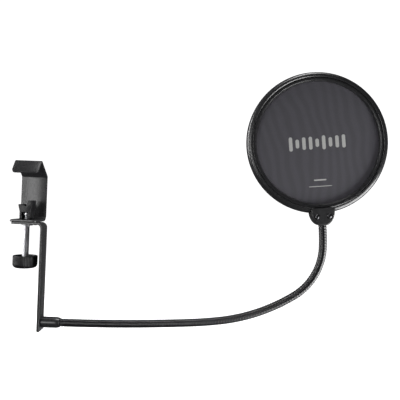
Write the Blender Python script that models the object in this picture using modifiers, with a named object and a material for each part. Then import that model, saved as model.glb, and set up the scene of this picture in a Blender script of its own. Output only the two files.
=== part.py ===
"""Round mesh pop filter on a bendable gooseneck arm with a screw clamp.

Every sub-part is one named object.  Lengths are in metres, written as millimetres times MM.
+X runs along the arm from the clamp to the filter, +Z is up and -Y is the front.
The origin is the centre of the clamp's back plate, on its inner face.
"""
import math

import bmesh
import bpy
from mathutils import Matrix, Vector

MM = 0.001
GAP = 0.3 * MM                      # clearance between neighbouring parts

# Clamp: one bent steel strip with a floor, a back plate and a jaw shaped like an upturned V.
STRIP = 2.0 * MM                    # thickness of both bent strips
EDGE = 0.3 * MM                     # rounding of the strips' long edges
CLAMP_WIDTH = 24.2 * MM
CLAMP_CORNER = 3.0 * MM             # rounding of the strip's end corners, seen flat
FLOOR_Z = -20.0 * MM                # top of the clamp's floor
BACK_TOP_Z = 20.0 * MM              # where the back plate bends into the jaw
FLOOR_DEPTH = 28.5 * MM
FLOOR_BEND = 5.0 * MM
RIDGE_DEPTH = 17.0 * MM             # the jaw's ridge stands right over the spindle
RIDGE_Z = 34.2 * MM
LIP_DEPTH = 26.5 * MM
LIP_Z = 22.8 * MM
JAW_BEND = 2.4 * MM

# Bracket: a flat bar under the floor that drops to carry the neck.
BAR_WIDTH = 15.0 * MM
BAR_CORNER = 2.0 * MM
BAR_BEND = 4.0 * MM
LEG_X = 15.0 * MM                   # inner face of the dropped leg
LEG_BOTTOM_Z = -122.2 * MM
NECK_ROOT_Z = -114.0 * MM           # axis of the lower ferrule

# Screw: spindle, knob, swivel button and pressure pad, all on one upright axis.
AXIS_Y = -RIDGE_DEPTH
SPINDLE_R = 3.0 * MM
SPINDLE_TIP_R = 1.2 * MM
KNOB_R = 11.0 * MM
KNOB_TOP_Z = -53.3 * MM
KNOB_HEIGHT = 11.2 * MM
KNOB_FLUTES = 18
KNOB_CORNER = 3.6 * MM
KNOB_LIP = 0.5 * MM                 # bevel along the knob's upper edges
KNOB_CUP_R = 8.4 * MM
KNOB_CUP_DEPTH = 6.0 * MM
KNOB_BOSS_R = 5.2 * MM
KNOB_BOSS_DROP = 1.6 * MM           # how far the boss stays under the knob's upper edge
KNOB_DRAFT = 0.4 * MM
FLUTE_R = 1.0 * MM
FLUTE_OUT = 0.55 * MM               # how far a flute's centre lies outside the knob
SPINDLE_FOOT_Z = KNOB_TOP_Z - 8.7 * MM
SPINDLE_CHAMFER = 0.5 * MM
FLUSH = 0.1 * MM                    # how far a sunk fastener stays under its face
BUSH_R = 4.5 * MM
BUSH_FLANGE_R = 5.7 * MM
BUSH_FLANGE = 0.9 * MM
RIVET_X = 8.0 * MM
RIVET_R = 1.2 * MM
RIVET_HEAD_R = 2.0 * MM
RIVET_SUNK = 1.2 * MM
RIVET_FOOT = (1.8 * MM, 1.56 * MM)  # radii of the closed end, next to the bar and at its face
RIVET_FOOT_DROP = (0.5 * MM, 0.7 * MM)
BUTTON_R = 2.9 * MM
BUTTON_NECK_R = 2.2 * MM
BUTTON_CHAMFER = 0.7 * MM
BUTTON_FOOT_Z = FLOOR_Z + 0.6 * MM
BUTTON_HEAD_Z = (FLOOR_Z + 3.5 * MM, FLOOR_Z + 6.5 * MM)
BUTTON_BORE_TOP_Z = FLOOR_Z + 5.5 * MM
PAD_HEIGHT = 17.2 * MM              # to the top of the right horn
PAD_DEPTH = 11.0 * MM
PAD_BODY_HALF = 5.0 * MM
PAD_HORN_HALF = 6.3 * MM
PAD_WAIST = 7.0 * MM                # height where the pad starts to flare
PAD_HORN_FACES = (1.1 * MM, 2.8 * MM)           # upright outer faces of the left and the right horn
PAD_LEFT_DROP = 3.6 * MM            # how much lower the left horn is
PAD_GROOVE_X = (-1.9 * MM, 0.5 * MM, 2.4 * MM)  # the groove's left edge, bottom and right edge
PAD_GROOVE_DEPTH = 5.7 * MM
PAD_EDGE = 0.5 * MM
SLOT_OVERLAP = 0.1 * MM             # how far the pad's two slots run into each other

# Neck: a chain of arcs, each a length and a turn upwards in degrees, from the ferrule to the hub.
NECK_R = 3.6 * MM
NECK_BENDS = ((120 * MM, 4.2), (27.5 * MM, 4.1), (73 * MM, 25.0), (54.5 * MM, 57.2), (19.8 * MM, 5.6))
NECK_BELOW = 10.0 * MM              # length held in the lower ferrule
NECK_ABOVE = 10.5 * MM              # length held in the hub
NECK_HINGES = tuple(station * MM for station in (20, 70, 120, 170, 220, 268))
NECK_SIDES = 12
NECK_STEP = 7.0 * MM                # length of one straight piece of a stretch
NECK_DOME = (28, 54, 76)            # angles of the rings that round a stretch's end
FERRULE_R = 5.0 * MM
FERRULE_X = LEG_X + STRIP + GAP
FERRULE_LENGTH = 17.1 * MM
FERRULE_TAPER = 3.0 * MM
FERRULE_SOCKET = 10.3 * MM
FERRULE_MOUTH_R = 4.3 * MM
FERRULE_CHAMFER = 0.4 * MM
NECK_SCREW_R = 2.0 * MM
NECK_SCREW_HEAD_R = 3.8 * MM
NECK_SCREW_SUNK = 1.7 * MM
NECK_SCREW_LENGTH = 8.2 * MM
NECK_RECESS = (3.6 * MM, 0.9 * MM, 1.1 * MM)    # span, slot width and depth

# Filter: a rim with two stretched meshes, held in a two-part hub.
RIM_R = 65.0 * MM
RIM_BORE_R = 60.0 * MM
RIM_HALF_DEPTH = 6.0 * MM
RIM_ROUND = 5.0 * MM                # height of the rim's rounded outer corners
RIM_CHAMFER = 0.6 * MM
RING_STEPS = 60
RIB_R = 57.6 * MM
RIB_HALF = 1.2 * MM
HOOP_BORE_R = 56.2 * MM
HOOP_TOP = 5.3 * MM
HOOP_SLOPE = (2.0 * MM, 1.9 * MM)   # width and height of the hoop's inner slope
HOOP_EDGE = 0.7 * MM
MESH_THICKNESS = 0.4 * MM
FILTER_RISE = 76.1 * MM             # from the hub's foot to the filter's centre
HUB_HALF_WIDTH = 11.1 * MM
HUB_HALF_DEPTH = 6.6 * MM
HUB_WALL = 2.0 * MM
HUB_CORNER = (9.0 * MM, 13.5 * MM)  # half axes of the hub's rounded lower corners
HUB_SHOULDER = (6.0 * MM, 2.1 * MM)  # half axes of its upper corners
HUB_REACH_R = RIM_BORE_R + GAP      # the hub's plates lap over the rim down to this radius
SEAT_HALF = RIM_HALF_DEPTH - 1.8 * MM
HUB_SCREW_X = 5.7 * MM
HUB_SCREW_Z = 8.2 * MM
HUB_SCREW_R = 1.2 * MM
HUB_SCREW_HEAD_R = 2.25 * MM
HUB_SCREW_CROWN = 1.4 * MM
HUB_SCREW_TIP = 3.8 * MM
HUB_SCREW_HOLE = 4.2 * MM           # depth of its hole behind the hub's middle
HUB_SCREW_SEAT = 0.2 * MM
HUB_RECESS = (2.5 * MM, 0.7 * MM, 0.6 * MM)     # span, slot width and depth under the head's seat
HUB_SINK_R = 2.6 * MM
HUB_SINK_DEPTH = 0.9 * MM
HUB_EDGE = 0.9 * MM
HUB_RIB_Z = (5.9 * MM, 7.2 * MM)
HUB_BORE_TOP = 11.0 * MM
BOSS_R = 2.7 * MM
COLLAR_R = 5.4 * MM
COLLAR_Z = (2.3 * MM, 5.2 * MM)


# ---------------------------------------------------------------- scene, materials, helpers

for old in list(bpy.data.objects):
    bpy.data.objects.remove(old, do_unlink=True)

PARTS = bpy.data.collections.new("pop_filter")
CUTTERS = bpy.data.collections.new("cutters")
for collection in (PARTS, CUTTERS):
    bpy.context.scene.collection.children.link(collection)


def material(name, colour, roughness, metallic=0.0):
    """A plain Principled material."""
    made = bpy.data.materials.new(name)
    made.use_nodes = True
    shader = made.node_tree.nodes["Principled BSDF"]
    shader.inputs["Base Color"].default_value = (*colour, 1.0)
    shader.inputs["Roughness"].default_value = roughness
    shader.inputs["Metallic"].default_value = metallic
    made.diffuse_color = (*colour, 1.0)
    return made


BLACK_STEEL = material("black_steel", (0.035, 0.035, 0.037), 0.35)
CHROME = material("chrome", (0.72, 0.72, 0.74), 0.12, 1.0)
ZINC = material("zinc_steel", (0.45, 0.45, 0.46), 0.35, 1.0)
BLACK_SCREW = material("black_screw", (0.06, 0.06, 0.062), 0.4, 0.8)
MATTE_PLASTIC = material("matte_plastic", (0.022, 0.022, 0.024), 0.55)
GLOSS_PLASTIC = material("gloss_plastic", (0.012, 0.012, 0.013), 0.22)
NECK_WIRE = material("neck_wire", (0.02, 0.02, 0.022), 0.3, 0.6)
MESH_CLOTH = material("mesh_cloth", (0.055, 0.053, 0.06), 0.85)


def place(name, data, mat=None, location=(0, 0, 0), rotation=(0, 0, 0), parent=None, cutter=False):
    """Link one object and set where it stands."""
    made = bpy.data.objects.new(name, data)
    (CUTTERS if cutter else PARTS).objects.link(made)
    made.location = location
    made.rotation_euler = rotation
    made.parent = parent
    if cutter:
        made.hide_render = True
        made.display_type = 'WIRE'
    else:
        data.materials.append(mat)
    return made


def empty(name, location, rotation=(0, 0, 0), parent=None):
    """A joint axis or a local frame."""
    made = bpy.data.objects.new(name, None)
    PARTS.objects.link(made)
    made.empty_display_size = 5 * MM
    made.location = location
    made.rotation_euler = rotation
    made.parent = parent
    return made


def smooth(mesh):
    """Smooth shading that keeps the creases."""
    mesh.shade_smooth()
    mesh.set_sharp_from_angle(angle=math.radians(35))


def arc(centre, radius, start, end, steps):
    """Points of an arc in degrees; radius is one number or a pair of half axes."""
    across, along = radius if isinstance(radius, tuple) else (radius, radius)
    turns = [math.radians(start + (end - start) * i / steps) for i in range(steps + 1)]
    return [(centre[0] + across * math.cos(t), centre[1] + along * math.sin(t)) for t in turns]


def rounded_path(corners, radius, steps=6):
    """A 2D path whose inner corners are replaced by arcs of the given radii."""
    points = [Vector(corners[0])]
    for i in range(1, len(corners) - 1):
        before, here, after = (Vector(corners[k]) for k in (i - 1, i, i + 1))
        into = (here - before).normalized()
        out = (after - here).normalized()
        turn = into.angle(out)
        start = here - into * (radius[i - 1] * math.tan(turn / 2))
        side = math.copysign(1.0, into.cross(out))
        centre = start + Vector((-into.y, into.x)) * side * radius[i - 1]
        for k in range(steps + 1):
            spin = Matrix.Rotation(side * turn * k / steps, 2)
            points.append(centre + spin @ (start - centre))
    points.append(Vector(corners[-1]))
    return points


def add_bevel(target, width, segments=2, angle=45):
    """Round every edge that is sharper than the angle."""
    bevel = target.modifiers.new("edges", 'BEVEL')
    bevel.width = width
    bevel.segments = segments
    bevel.limit_method = 'ANGLE'
    bevel.angle_limit = math.radians(angle)


def boolean(target, tool, operation='DIFFERENCE'):
    """Cut, join or intersect with another object."""
    modifier = target.modifiers.new(tool.name, 'BOOLEAN')
    modifier.operation = operation
    modifier.solver = 'EXACT'
    modifier.object = tool


def bent_strip(name, path, corner, mat):
    """A strip of constant thickness along a 2D path in the local XZ plane, wide along Y."""
    width, rounding = corner
    ends = [rounding * (1 - math.cos(math.radians(turn))) for turn in (0, 30, 50, 70, 90)]
    first = (path[1] - path[0]).normalized()
    last = (path[-2] - path[-1]).normalized()
    points = [path[0] + first * step for step in ends] + path[1:-1]
    points += [path[-1] + last * step for step in reversed(ends)]
    trims = [rounding - math.sqrt(rounding ** 2 - (rounding - step) ** 2) for step in ends]
    halves = [width / 2 - trim for trim in trims]
    halves += [width / 2] * (len(path) - 2) + halves[::-1]
    mesh = bpy.data.meshes.new(name)
    form = bmesh.new()
    rows = []
    for point, half in zip(points, halves):
        rows.append([form.verts.new((point.x, side * half, point.y)) for side in (-1, 1)])
    for near, far in zip(rows, rows[1:]):
        form.faces.new((near[0], near[1], far[1], far[0]))
    form.normal_update()
    bmesh.ops.dissolve_limit(form, angle_limit=math.radians(1), verts=form.verts, edges=form.edges)
    form.to_mesh(mesh)
    form.free()
    smooth(mesh)
    made = place(name, mesh, mat)
    solidify = made.modifiers.new("thickness", 'SOLIDIFY')
    solidify.thickness = STRIP
    solidify.offset = 0.0
    solidify.use_even_offset = True
    add_bevel(made, EDGE)
    return made


def turned(name, profile, mat=None, steps=32, closed=False, **where):
    """A profile of (radius, height) points turned about the local Z axis."""
    mesh = bpy.data.meshes.new(name)
    edges = [(i, i + 1) for i in range(len(profile) - 1)]
    if closed:
        edges.append((len(profile) - 1, 0))
    mesh.from_pydata([(radius, 0.0, height) for radius, height in profile], edges, [])
    made = place(name, mesh, mat, **where)
    screw = made.modifiers.new("turn", 'SCREW')
    screw.steps = steps
    screw.render_steps = steps
    screw.use_merge_vertices = True
    screw.merge_threshold = 0.00001
    screw.use_smooth_shade = True
    return made


def rod(name, radius, low, high, steps=24, **where):
    """A plain round cutter from one height to the other."""
    return turned(name, [(0, high), (radius, high), (radius, low), (0, low)], steps=steps,
                  cutter=True, **where)


def block(name, low, high, **where):
    """A box between two corners."""
    mesh = bpy.data.meshes.new(name)
    form = bmesh.new()
    size = Vector(high) - Vector(low)
    middle = (Vector(high) + Vector(low)) / 2
    bmesh.ops.create_cube(form, size=1.0, matrix=Matrix.LocRotScale(middle, None, size))
    form.to_mesh(mesh)
    form.free()
    return place(name, mesh, **where)


def prism(name, outline, low, high, **where):
    """A flat outline in the local XZ plane, extruded along Y from low to high."""
    mesh = bpy.data.meshes.new(name)
    form = bmesh.new()
    face = form.faces.new([form.verts.new((x, low, z)) for x, z in outline])
    side = bmesh.ops.extrude_face_region(form, geom=[face])
    moved = [item for item in side["geom"] if isinstance(item, bmesh.types.BMVert)]
    bmesh.ops.translate(form, verts=moved, vec=(0, high - low, 0))
    bmesh.ops.recalc_face_normals(form, faces=form.faces)
    form.to_mesh(mesh)
    form.free()
    return place(name, mesh, **where)


def cross_recess(name, span, thickness, low, high, **where):
    """A cross-shaped driver recess, cut along the local Y axis from low to high."""
    long, short = span / 2, thickness / 2
    outline = []
    for turn in range(4):
        spin = Matrix.Rotation(turn * math.pi / 2, 2)
        outline += [spin @ Vector(corner) for corner in ((short, short), (short, long), (-short, long))]
    return prism(name, outline, low, high, cutter=True, **where)


# ---------------------------------------------------------------- clamp frame and bracket

def clamp_frame():
    """Floor, back plate and jaw in one bent strip."""
    half = STRIP / 2
    corners = (
        (FLOOR_DEPTH, FLOOR_Z - half),
        (-half, FLOOR_Z - half),
        (-half, BACK_TOP_Z + half / 2),
        (RIDGE_DEPTH, RIDGE_Z),
        (LIP_DEPTH, LIP_Z),
    )
    path = rounded_path(corners, (FLOOR_BEND, JAW_BEND, JAW_BEND))
    made = bent_strip("clamp_frame", path, (CLAMP_WIDTH, CLAMP_CORNER), BLACK_STEEL)
    made.rotation_euler = (0, 0, -math.pi / 2)
    return made


def neck_bracket():
    """Flat bar bolted under the floor, bent down into the leg that carries the neck."""
    half = STRIP / 2
    bar_z = FLOOR_Z - STRIP - GAP - half
    corners = ((-CLAMP_WIDTH / 2, bar_z), (LEG_X + half, bar_z), (LEG_X + half, LEG_BOTTOM_Z))
    path = rounded_path(corners, (BAR_BEND,))
    made = bent_strip("neck_bracket", path, (BAR_WIDTH, BAR_CORNER), BLACK_STEEL)
    made.location = (0, AXIS_Y, 0)
    return made


def clamp_fasteners(frame, bracket):
    """The threaded bush and the rivet that hold the bracket under the floor."""
    bar_bottom = FLOOR_Z - 2 * STRIP - GAP
    top = FLOOR_Z - FLUSH
    flange_top = bar_bottom - GAP
    flange_bottom = flange_top - BUSH_FLANGE
    bore = SPINDLE_R + GAP
    turned("thread_bush", (
        (BUSH_R, top),
        (BUSH_R, flange_top),
        (BUSH_FLANGE_R, flange_top),
        (BUSH_FLANGE_R, flange_bottom),
        (bore, flange_bottom),
        (bore, top),
    ), ZINC, steps=24, closed=True, location=(0, AXIS_Y, 0))
    bush_hole = rod("bush_hole", BUSH_R + GAP, bar_bottom - STRIP, FLOOR_Z + STRIP,
                    location=(0, AXIS_Y, 0))
    foot_r, end_r = RIVET_FOOT
    foot_drop, end_drop = RIVET_FOOT_DROP
    turned("bracket_rivet", (
        (0, top),
        (RIVET_HEAD_R, top),
        (RIVET_HEAD_R, top - GAP),
        (RIVET_R, top - RIVET_SUNK),
        (RIVET_R, flange_top),
        (foot_r, flange_top),
        (end_r, flange_top - foot_drop),
        (0, flange_top - end_drop),
    ), ZINC, steps=16, location=(RIVET_X, AXIS_Y, 0))
    rivet_hole = turned("rivet_hole", (
        (0, FLOOR_Z + STRIP),
        (RIVET_HEAD_R + GAP, FLOOR_Z + STRIP),
        (RIVET_HEAD_R + GAP, top - 1.5 * GAP),
        (RIVET_R + GAP, top - RIVET_SUNK - GAP),
        (RIVET_R + GAP, bar_bottom - STRIP),
        (0, bar_bottom - STRIP),
    ), steps=16, location=(RIVET_X, AXIS_Y, 0), cutter=True)
    for strip in (frame, bracket):
        boolean(strip, bush_hole)
        boolean(strip, rivet_hole)


# ---------------------------------------------------------------- screw, knob and pad

def spindle_and_knob(axis):
    """The threaded rod, its reduced tip, and the fluted knob on its lower end."""
    shoulder = FLOOR_Z
    tip = BUTTON_BORE_TOP_Z - GAP
    foot = SPINDLE_FOOT_Z
    turned("spindle", (
        (0, tip),
        (SPINDLE_TIP_R - GAP, tip),
        (SPINDLE_TIP_R, tip - GAP),
        (SPINDLE_TIP_R, shoulder),
        (SPINDLE_R - SPINDLE_CHAMFER, shoulder),
        (SPINDLE_R, shoulder - SPINDLE_CHAMFER),
        (SPINDLE_R, foot),
        (0, foot),
    ), CHROME, steps=24, parent=axis)
    base = KNOB_TOP_Z - KNOB_HEIGHT
    cup_floor = KNOB_TOP_Z - KNOB_CUP_DEPTH
    boss_top = KNOB_TOP_Z - KNOB_BOSS_DROP
    bore = SPINDLE_R + GAP
    outer = [(KNOB_CUP_R + KNOB_LIP, KNOB_TOP_Z), (KNOB_R - KNOB_LIP, KNOB_TOP_Z),
             (KNOB_R, KNOB_TOP_Z - KNOB_LIP)]
    corner = arc((KNOB_R - KNOB_CORNER, base + KNOB_CORNER), KNOB_CORNER, 0, -90, 4)
    inner = [(0, base), (0, foot - GAP), (bore, foot - GAP), (bore, boss_top), (KNOB_BOSS_R, boss_top),
             (KNOB_BOSS_R + KNOB_DRAFT, cup_floor), (KNOB_CUP_R - KNOB_DRAFT, cup_floor),
             (KNOB_CUP_R, cup_floor + KNOB_DRAFT), (KNOB_CUP_R, KNOB_TOP_Z - KNOB_LIP)]
    knob = turned("thumb_knob", outer + corner + inner, MATTE_PLASTIC, steps=36, closed=True,
                  parent=axis)
    mesh = bpy.data.meshes.new("knob_flutes")
    form = bmesh.new()
    for i in range(KNOB_FLUTES):
        spin = Matrix.Rotation(math.tau * (i + 0.5) / KNOB_FLUTES, 4, 'Z')
        shift = Matrix.Translation((KNOB_R + FLUTE_OUT, 0, base + KNOB_HEIGHT / 2))
        bmesh.ops.create_cone(form, cap_ends=True, segments=6, radius1=FLUTE_R, radius2=FLUTE_R,
                              depth=2 * KNOB_HEIGHT, matrix=spin @ shift)
    form.to_mesh(mesh)
    form.free()
    boolean(knob, place("knob_flutes", mesh, cutter=True, parent=axis))


def swivel_button(axis):
    """The headed button on the spindle's tip that the pad turns on."""
    head_bottom, head_top = BUTTON_HEAD_Z
    foot = BUTTON_FOOT_Z
    bore = SPINDLE_TIP_R + GAP
    bore_top = BUTTON_BORE_TOP_Z
    turned("swivel_button", (
        (0, head_top),
        (BUTTON_R - BUTTON_CHAMFER, head_top),
        (BUTTON_R, head_top - BUTTON_CHAMFER),
        (BUTTON_R, head_bottom),
        (BUTTON_NECK_R, head_bottom),
        (BUTTON_NECK_R, foot),
        (bore, foot),
        (bore, bore_top),
        (0, bore_top),
    ), CHROME, steps=24, parent=axis)


def pressure_pad(axis):
    """The plastic V block, slid over the swivel button through the slot in its front."""
    foot = FLOOR_Z + GAP
    top = foot + PAD_HEIGHT
    waist = foot + PAD_WAIST
    left_top = top - PAD_LEFT_DROP
    left_face, right_face = PAD_HORN_FACES
    left_x, bottom_x, right_x = PAD_GROOVE_X
    outline = [
        (PAD_BODY_HALF, foot),
        (PAD_BODY_HALF, waist),
        (PAD_HORN_HALF, top - right_face),
        (PAD_HORN_HALF, top),
        (right_x, top),
        (bottom_x, top - PAD_GROOVE_DEPTH),
        (left_x, left_top),
        (-PAD_HORN_HALF, left_top),
        (-PAD_HORN_HALF, left_top - left_face),
        (-PAD_BODY_HALF, waist),
        (-PAD_BODY_HALF, foot),
    ]
    pad = prism("pressure_pad", outline, -PAD_DEPTH / 2, PAD_DEPTH / 2, mat=MATTE_PLASTIC, parent=axis)
    add_bevel(pad, PAD_EDGE, angle=30)
    head_low = BUTTON_HEAD_Z[0] - GAP
    head_high = BUTTON_HEAD_Z[1] + GAP
    levels = (
        ("pad_neck_slot", BUTTON_NECK_R + GAP, foot - STRIP, head_low + SLOT_OVERLAP),
        ("pad_head_slot", BUTTON_R + GAP, head_low, head_high),
    )
    for name, half, low, high in levels:
        boolean(pad, rod(name + "_end", half, low, high, parent=axis))
        boolean(pad, block(name, (-half, -PAD_DEPTH, low), (half, 0, high), cutter=True, parent=axis))


# ---------------------------------------------------------------- neck

def neck_point(station):
    """Position in the XZ plane and heading, at a length along the neck from the ferrule's mouth."""
    x = FERRULE_X + FERRULE_LENGTH
    z = NECK_ROOT_Z
    heading = 0.0
    left = station
    if station < 0:
        return x + station, z, heading
    for length, turn in NECK_BENDS:
        run = min(left, length)
        curve = math.radians(turn) / length
        bend = heading + curve * run
        x += (math.sin(bend) - math.sin(heading)) / curve
        z += (math.cos(heading) - math.cos(bend)) / curve
        heading = bend
        left -= run
        if left <= 0:
            return x, z, heading
    return x + left * math.cos(heading), z + left * math.sin(heading), heading


NECK_LENGTH = sum(length for length, turn in NECK_BENDS)
NECK_END = neck_point(NECK_LENGTH)


def neck_segment(number, start, end, hinge, dome_start, dome_end):
    """One stretch of the neck with domed ends, so that it can turn against its neighbour."""
    steps = max(3, round((end - start) / NECK_STEP))
    inner_start = start + (NECK_R if dome_start else 0)
    inner_end = end - (NECK_R if dome_end else 0)
    stations = [(inner_start + (inner_end - inner_start) * i / steps, 1.0) for i in range(steps + 1)]
    rings = [(1 - math.sin(t), math.cos(t)) for t in map(math.radians, NECK_DOME)]
    if dome_start:
        stations = [(start + NECK_R * back, size) for back, size in reversed(rings)] + stations
    if dome_end:
        stations += [(end - NECK_R * back, size) for back, size in rings]
    name = f"gooseneck_{number}"
    curve = bpy.data.curves.new(name, 'CURVE')
    curve.dimensions = '3D'
    curve.bevel_depth = NECK_R
    curve.bevel_resolution = NECK_SIDES // 2 - 2
    curve.use_fill_caps = True
    origin_x, origin_z = neck_point(hinge)[:2]
    spline = curve.splines.new('POLY')
    spline.use_smooth = True
    spline.points.add(len(stations) - 1)
    for point, (station, size) in zip(spline.points, stations):
        x, z = neck_point(station)[:2]
        point.co = (x - origin_x, 0, z - origin_z, 1)
        point.radius = size
    return place(name, curve, NECK_WIRE, location=(origin_x, AXIS_Y, origin_z))


def neck():
    """The whole neck, as stretches between its hinges."""
    cuts = (-NECK_BELOW,) + NECK_HINGES + (NECK_LENGTH + NECK_ABOVE,)
    for i in range(len(cuts) - 1):
        first = i == 0
        last = i == len(cuts) - 2
        start = cuts[i] + (0 if first else GAP)
        end = cuts[i + 1] - (0 if last else GAP)
        neck_segment(i + 1, start, end, 0.0 if first else cuts[i], not first, not last)


def lower_ferrule(bracket):
    """The sleeve on the leg, and the countersunk screw that holds it there."""
    length = FERRULE_LENGTH
    bore = NECK_SCREW_R + GAP
    along_x = (0, math.pi / 2, 0)
    turned("lower_ferrule", (
        (FERRULE_MOUTH_R, length),
        (FERRULE_R, length - FERRULE_TAPER),
        (FERRULE_R, FERRULE_CHAMFER),
        (FERRULE_R - FERRULE_CHAMFER, 0),
        (bore, 0),
        (bore, length - FERRULE_SOCKET),
        (NECK_R + GAP, length - FERRULE_SOCKET),
        (NECK_R + GAP, length),
    ), BLACK_STEEL, steps=24, closed=True, location=(FERRULE_X, AXIS_Y, NECK_ROOT_Z), rotation=along_x)
    top = -FLUSH
    rim = top - GAP
    against_x = (0, -math.pi / 2, 0)
    leg_face = (LEG_X, AXIS_Y, NECK_ROOT_Z)
    screw = turned("neck_screw", (
        (0, top),
        (NECK_SCREW_HEAD_R, top),
        (NECK_SCREW_HEAD_R, rim),
        (NECK_SCREW_R, top - NECK_SCREW_SUNK),
        (NECK_SCREW_R, -NECK_SCREW_LENGTH + 2 * GAP),
        (NECK_SCREW_R - 2 * GAP, -NECK_SCREW_LENGTH),
        (0, -NECK_SCREW_LENGTH),
    ), BLACK_SCREW, steps=24, location=leg_face, rotation=against_x)
    span, slot, depth = NECK_RECESS
    boolean(screw, cross_recess("neck_screw_recess", span, slot, low=-STRIP, high=depth,
                                location=leg_face, rotation=(0, 0, -math.pi / 2)))
    boolean(bracket, turned("neck_screw_hole", (
        (0, STRIP),
        (NECK_SCREW_HEAD_R + GAP, STRIP),
        (NECK_SCREW_HEAD_R + GAP, rim),
        (bore, 2 * top - NECK_SCREW_SUNK),
        (bore, -2 * STRIP),
        (0, -2 * STRIP),
    ), steps=24, location=leg_face, rotation=against_x, cutter=True))


# ---------------------------------------------------------------- filter head

def hub_outline(inset, reach):
    """The hub's outline seen from the front, shrunk by an inset, up to a radius from the centre."""
    half = HUB_HALF_WIDTH - inset
    across, along = (axis - inset for axis in HUB_CORNER)
    lower = arc((half - across, inset + along), (across, along), 0, -90, 6)
    wide, tall = (axis - inset for axis in HUB_SHOULDER)
    sweep = math.asin((half - wide) / reach)
    rise = FILTER_RISE - reach * math.cos(sweep)
    upper = arc((half - wide, rise - tall), (wide, tall), 90, 0, 4)
    start = math.degrees(sweep) - 90
    top = arc((0, FILTER_RISE), reach, -180 - start, start, 6)
    mirrored = [(-x, z) for x, z in reversed(upper + lower)]
    return upper + lower + mirrored + top[1:-1]


def outer_rim(head, centre):
    """The rim: rounded outside, with an inner rib that keeps the two meshes apart."""
    top = RIM_HALF_DEPTH
    across = RIM_R - RIM_BORE_R - RIM_CHAMFER
    shoulder = arc((RIM_R - across, top - RIM_ROUND), (across, RIM_ROUND), 90, 0, 5)
    inner = [(RIM_BORE_R, top - RIM_CHAMFER)]
    lower = [(r, -a) for r, a in reversed(inner + shoulder)]
    rib = [(RIM_BORE_R, -RIB_HALF), (RIB_R, -RIB_HALF), (RIB_R, RIB_HALF), (RIM_BORE_R, RIB_HALF)]
    rim = turned("outer_rim", shoulder + lower + rib + inner, GLOSS_PLASTIC, steps=RING_STEPS, closed=True,
                 location=centre, rotation=(math.pi / 2, 0, 0), parent=head)
    lap = hub_outline(-GAP, HUB_REACH_R - 2 * GAP)
    for name, side in (("front", -1), ("rear", 1)):
        levels = sorted((side * SEAT_HALF, side * 2 * RIM_HALF_DEPTH))
        boolean(rim, prism(f"rim_seat_{name}", lap, *levels, cutter=True, parent=head))


def hoops_and_meshes(head, centre):
    """On each face, a mesh laid on the rib and the hoop that presses it there."""
    outer = RIM_BORE_R - GAP
    mesh_low = RIB_HALF + GAP
    mesh_high = mesh_low + MESH_THICKNESS
    hoop_low = mesh_high + GAP
    wide, tall = HOOP_SLOPE
    for name, flip in (("front", math.pi / 2), ("rear", -math.pi / 2)):
        turned(f"{name}_hoop", (
            (outer, HOOP_TOP - HOOP_EDGE),
            (outer, hoop_low),
            (HOOP_BORE_R, hoop_low),
            (HOOP_BORE_R, HOOP_TOP - tall),
            (HOOP_BORE_R + wide / 2, HOOP_TOP - tall / 4),
            (HOOP_BORE_R + wide, HOOP_TOP),
            (outer - HOOP_EDGE, HOOP_TOP),
        ), GLOSS_PLASTIC, steps=RING_STEPS, closed=True, location=centre, rotation=(flip, 0, 0), parent=head)
        turned(f"{name}_mesh", (
            (0, mesh_high),
            (outer, mesh_high),
            (outer, mesh_low),
            (0, mesh_low),
        ), MESH_CLOTH, steps=RING_STEPS, location=centre, rotation=(flip, 0, 0), parent=head)


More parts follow.
